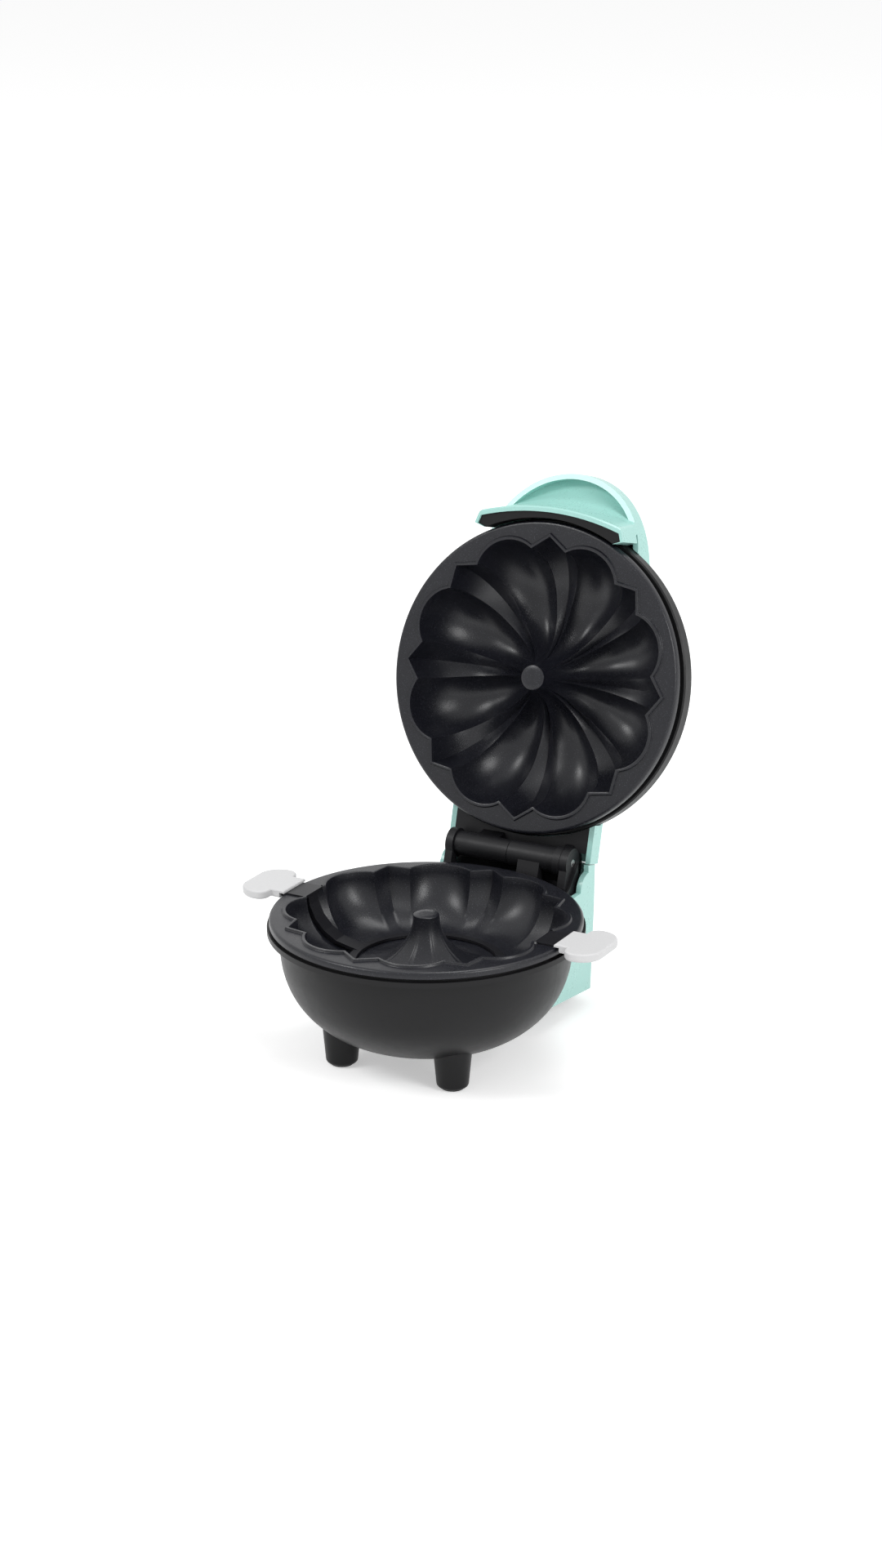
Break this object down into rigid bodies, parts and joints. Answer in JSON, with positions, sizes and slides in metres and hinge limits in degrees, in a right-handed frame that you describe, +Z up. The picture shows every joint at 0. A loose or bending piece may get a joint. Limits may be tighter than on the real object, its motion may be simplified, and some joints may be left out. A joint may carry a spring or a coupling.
{
  "type": "mini bundt cake maker",
  "caption": "Round countertop cake maker with a hinged domed lid, fluted ring-shaped cake cavities, a lift-out strap with side tabs, and short feet.",
  "frame": {"origin": "on the surface it stands on, in the middle of the box around the opened appliance", "axes": "+Z up, +Y from the front of the bowl towards the hinge, +X to the right seen from the front"},
  "size_m": [0.1636, 0.2093, 0.2139],
  "materials": {
    "black_plastic": "satin black moulding",
    "hinge_plastic": "fine-grained satin black moulding",
    "mint_plastic": "smooth mint moulding",
    "nonstick": "cast aluminium with a dark non-stick coating",
    "coated_strap": "flat steel with a dark non-stick coating",
    "tab_plastic": "pale heat-resistant moulding",
    "heater_steel": "oxidised steel tube",
    "steel": "plated steel",
    "shield_metal": "thin bright sheet",
    "rubber": "matt black rubber",
    "white_plastic": "off-white moulding",
    "lens": "clear red moulding"
  },
  "bodies": {
    "base": {"base_bowl": "black_plastic", "base_screws": "steel", "bottom_cover_screws": "steel", "front_foot_pads": "rubber", "front_left_foot": "black_plastic", "front_right_foot": "black_plastic", "hinge_bracket": "hinge_plastic", "hinge_pin": "steel", "inlet_bush": "rubber", "lower_element_clamps": "steel", "lower_heat_shield": "shield_metal", "lower_heating_element": "heater_steel", "lower_plate": "nonstick", "rear_feet": "rubber", "rear_spine": "mint_plastic", "spine_bottom_cover": "black_plastic", "terminal_block": "white_plastic", "thermostat": "steel"},
    "lid": {"upper_plate": "nonstick", "upper_heating_element": "heater_steel", "upper_element_clamps": "steel", "upper_heat_shield": "shield_metal", "upper_shield_screws": "steel", "thermal_fuse": "steel", "lid_ring": "black_plastic", "lid_cover": "mint_plastic", "handle_underside": "black_plastic", "arm_inner_cover": "hinge_plastic", "lid_knuckles": "hinge_plastic", "indicator_lenses": "lens", "indicator_holder": "white_plastic"},
    "lifter": {"lifting_strap": "coated_strap", "left_tab": "tab_plastic", "right_tab": "tab_plastic"}
  },
  "joints": [
    {"name": "lid_hinge", "type": "hinge", "parent": "base", "child": "lid", "pos_m": [0, 0.0335, 0.064], "axis": [1, 0, 0], "range_deg": [0, 104.9]},
    {"name": "strap_lift", "type": "slide", "parent": "base", "child": "lifter", "axis": [0, 0, 1], "range_m": [0, 0.08]}
  ]
}
